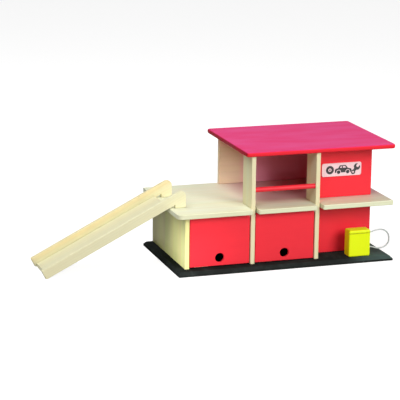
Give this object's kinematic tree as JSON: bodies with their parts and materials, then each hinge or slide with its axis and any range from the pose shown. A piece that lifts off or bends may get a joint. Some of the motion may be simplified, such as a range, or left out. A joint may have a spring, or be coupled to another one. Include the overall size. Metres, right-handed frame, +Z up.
{
  "type": "toy garage",
  "caption": "Wooden toy garage with lift-up doors, a removable ramp to the parking deck, a roofed upper room with a railing, a sign wall and a fuel pump with its hose.",
  "frame": {"origin": "centre of the base board's underside", "axes": "+X runs along the front from the ramp end to the fuel pump end, +Y points to the back, +Z is up"},
  "size_m": [0.7107, 0.259, 0.236],
  "materials": {
    "natural_wood": "clear matt varnish",
    "red_paint": "satin paint on wood",
    "black_paint": "gloss paint on wood",
    "yellow_paint": "gloss paint on wood",
    "sign_board": "thin painted hardboard",
    "clear_hose": "smooth",
    "steel": "bright zinc"
  },
  "bodies": {
    "frame": {"base_board": "black_paint", "base_screw_1": "steel", "base_screw_2": "steel", "base_screw_3": "steel", "base_screw_4": "steel", "base_screw_5": "steel", "base_screw_6": "steel", "base_screw_7": "steel", "base_screw_8": "steel", "side_panel_left": "natural_wood", "partition_left": "natural_wood", "partition_right": "natural_wood", "front_wall_lower": "red_paint", "front_wall_upper": "red_paint", "side_wall_lower": "red_paint", "side_wall_upper": "red_paint", "rear_wall_lower": "natural_wood", "rear_wall_upper": "natural_wood", "floor_board": "natural_wood", "roof_board": "red_paint", "roof_dowel_1": "natural_wood", "roof_dowel_2": "natural_wood", "roof_dowel_3": "natural_wood", "roof_dowel_4": "natural_wood", "roof_dowel_5": "natural_wood", "roof_dowel_6": "natural_wood", "railing": "red_paint", "door_stop_left": "natural_wood", "door_stop_middle": "natural_wood", "sign_plate": "sign_board", "fuel_pump": "yellow_paint", "pump_dowel_1": "natural_wood", "pump_dowel_2": "natural_wood", "pump_hose": "clear_hose"},
    "door_left": {"door_left": "red_paint", "hinge_pin_left_1": "steel", "hinge_pin_left_2": "steel"},
    "door_middle": {"door_middle": "red_paint", "hinge_pin_middle_1": "steel", "hinge_pin_middle_2": "steel"},
    "ramp": {"ramp_board": "natural_wood", "ramp_rail_front": "natural_wood", "ramp_rail_rear": "natural_wood", "ramp_brad_1": "steel", "ramp_brad_2": "steel", "ramp_brad_3": "steel", "ramp_brad_4": "steel", "ramp_brad_5": "steel", "ramp_brad_6": "steel"}
  },
  "joints": [
    {"name": "door_left_hinge", "type": "hinge", "parent": "frame", "child": "door_left", "pos_m": [-0.1355, -0.09845, 0.1068], "axis": [-1, 0, 0], "range_deg": [0, 98]},
    {"name": "door_middle_hinge", "type": "hinge", "parent": "frame", "child": "door_middle", "pos_m": [-0.0005, -0.09845, 0.1068], "axis": [-1, 0, 0], "range_deg": [0, 98]},
    {"name": "ramp_lift", "type": "slide", "parent": "frame", "child": "ramp", "axis": [0, 0, 1], "range_m": [0, 0.1]}
  ]
}
